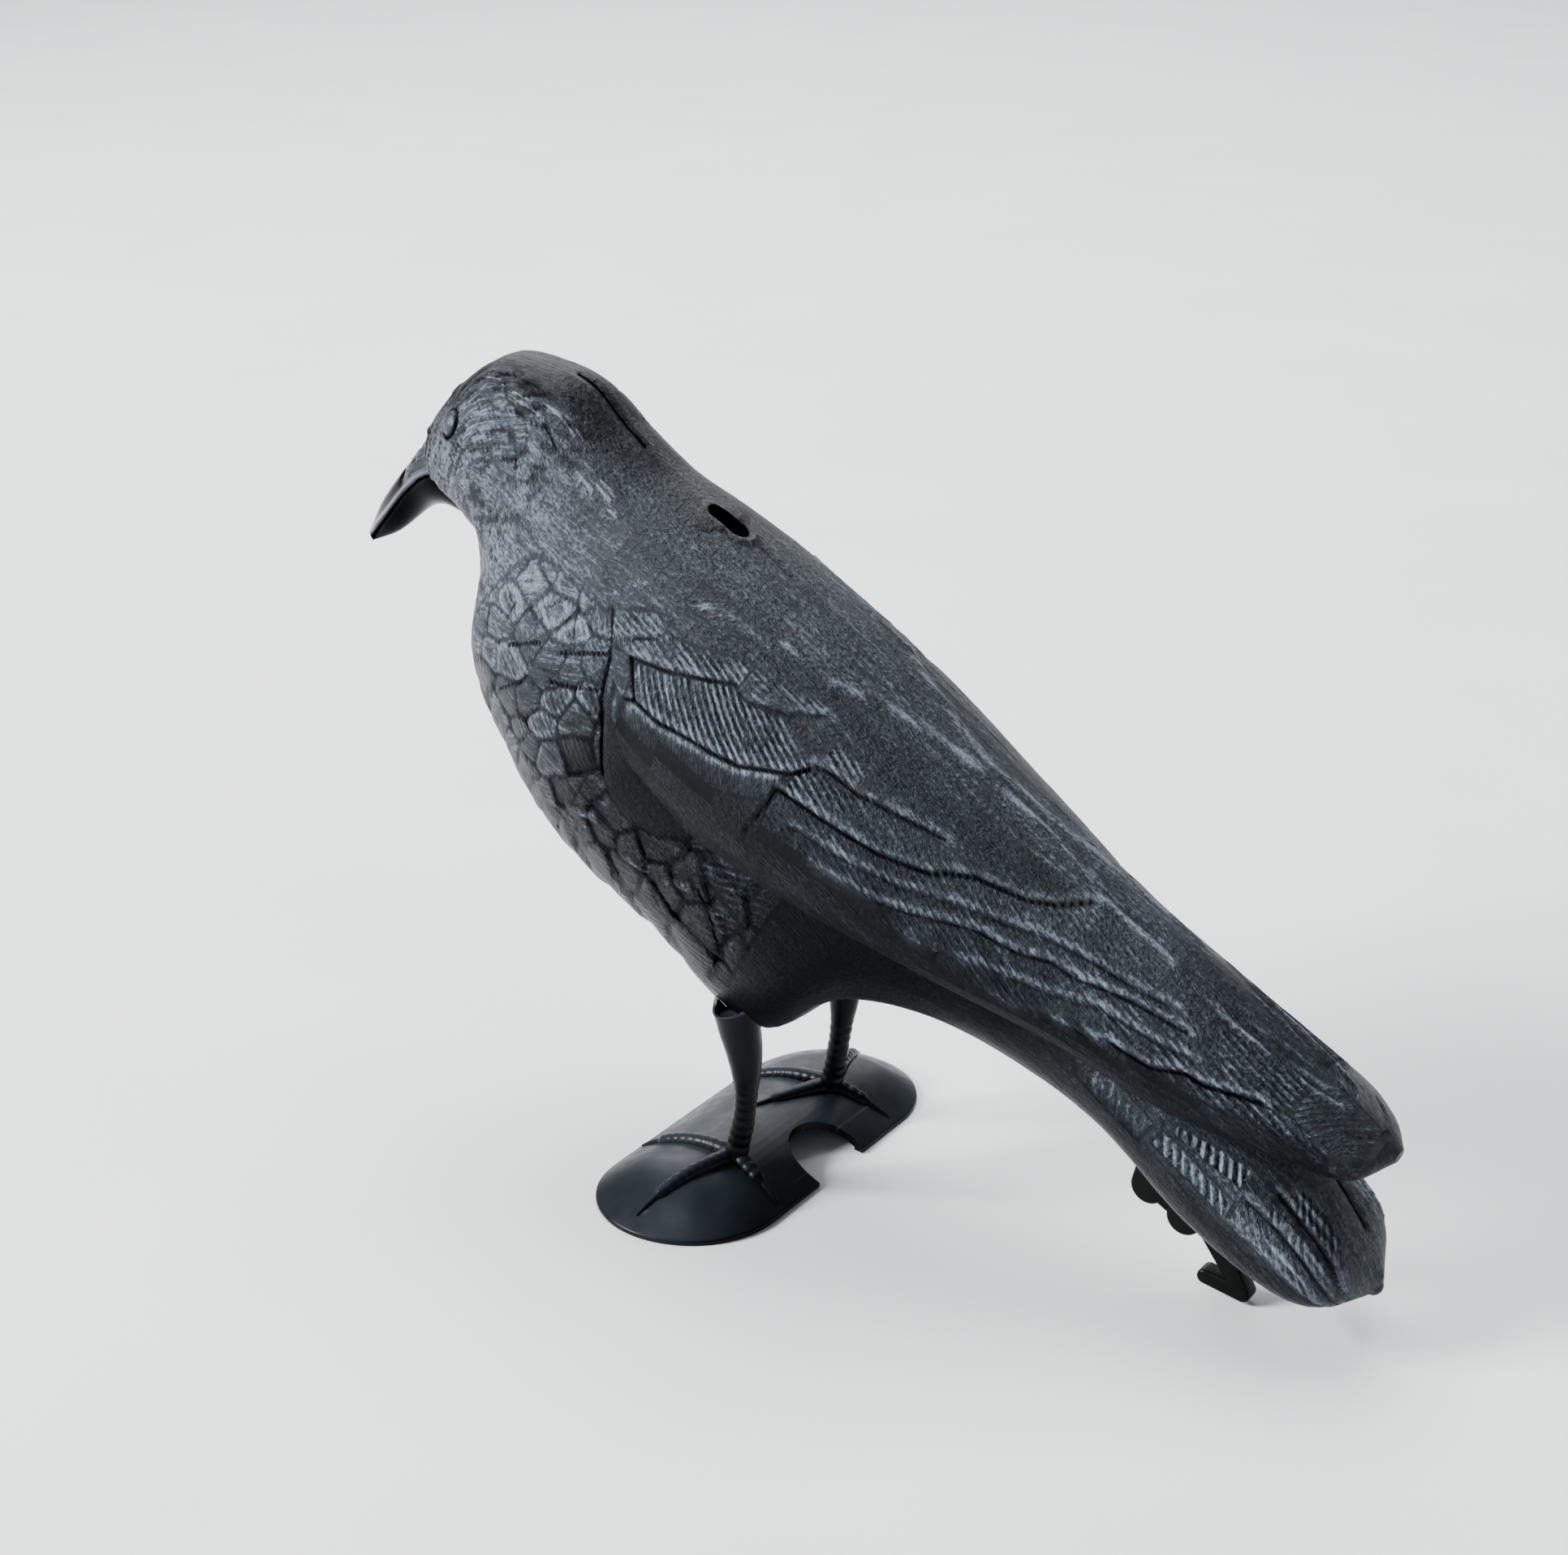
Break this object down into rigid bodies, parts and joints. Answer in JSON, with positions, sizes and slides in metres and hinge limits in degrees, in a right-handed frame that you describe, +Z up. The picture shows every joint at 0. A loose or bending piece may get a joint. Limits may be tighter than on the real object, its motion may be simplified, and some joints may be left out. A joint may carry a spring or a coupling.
{
  "type": "crow decoy",
  "caption": "Hollow moulded crow decoy with folded wings and a slot in its back, standing on legs moulded in one with a domed, notched foot plate, with a clip under its tail.",
  "frame": {"origin": "on the ground under the middle of the object's length and width", "axes": "+Z up; the beak points to -Y and the tail to +Y; the bird's left side is +X"},
  "size_m": [0.134, 0.355, 0.2419],
  "materials": {
    "satin_black_plastic": "satin bluish charcoal moulded plastic with moulded feather relief",
    "gloss_black_plastic": "semi-gloss black moulded plastic",
    "hook_plastic": "glossy black moulded plastic"
  },
  "bodies": {
    "root": {"crow_body": "satin_black_plastic", "legs_and_base": "gloss_black_plastic", "tail_hook": "hook_plastic"}
  },
  "joints": []
}
